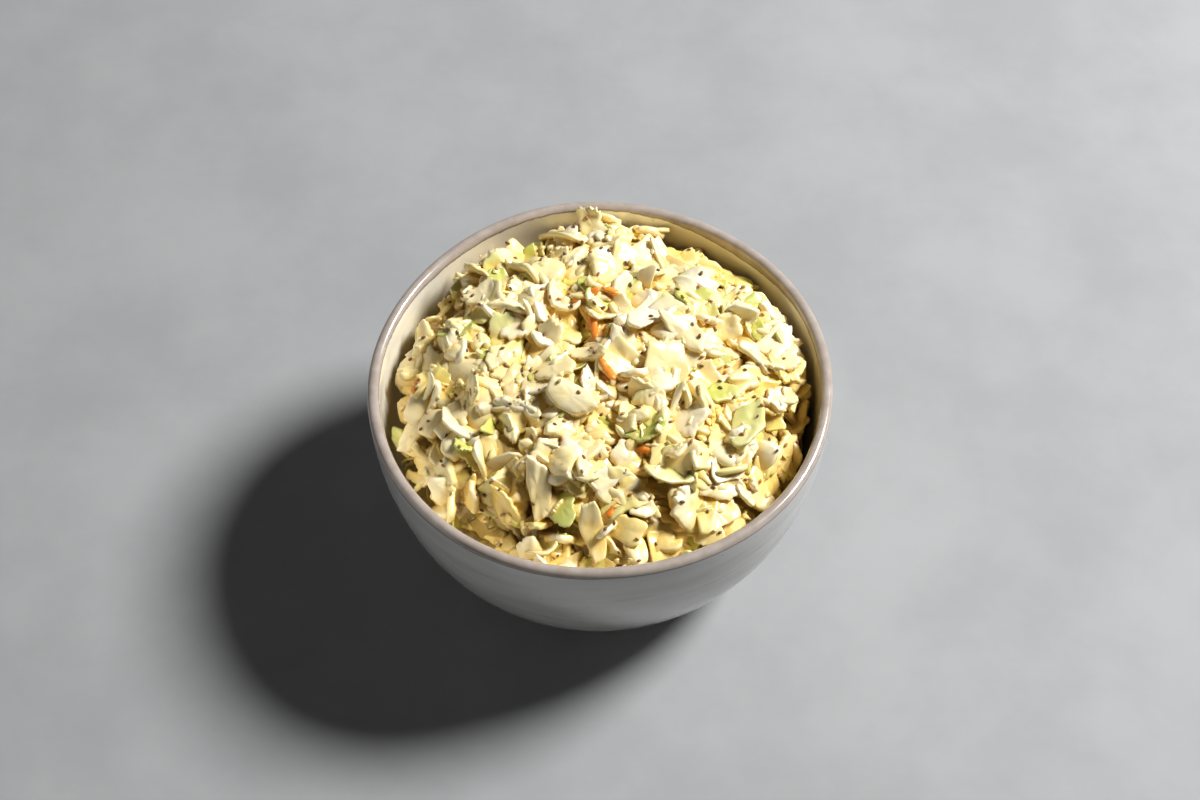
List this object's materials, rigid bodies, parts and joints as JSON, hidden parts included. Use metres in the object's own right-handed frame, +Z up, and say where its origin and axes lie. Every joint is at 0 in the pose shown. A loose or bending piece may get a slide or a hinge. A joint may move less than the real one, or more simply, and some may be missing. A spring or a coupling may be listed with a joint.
{
  "type": "bowl of coleslaw",
  "caption": "Chopped cabbage slaw with carrot shreds and celery seed, mounded in a small round stoneware bowl on a foot ring.",
  "frame": {"origin": "on the table, under the middle of the bowl's foot ring", "axes": "+Z up; +Y to the back; +X to the right. The trough between heap and wall is on the left, at -X"},
  "size_m": [0.1305, 0.1295, 0.0794],
  "materials": {
    "bowl": "glossy cream glaze with a taupe rim",
    "coleslaw_heap": "chopped cabbage wet with creamy dressing"
  },
  "bodies": {
    "root": {"bowl": "bowl", "coleslaw_heap": "coleslaw_heap"}
  },
  "joints": []
}
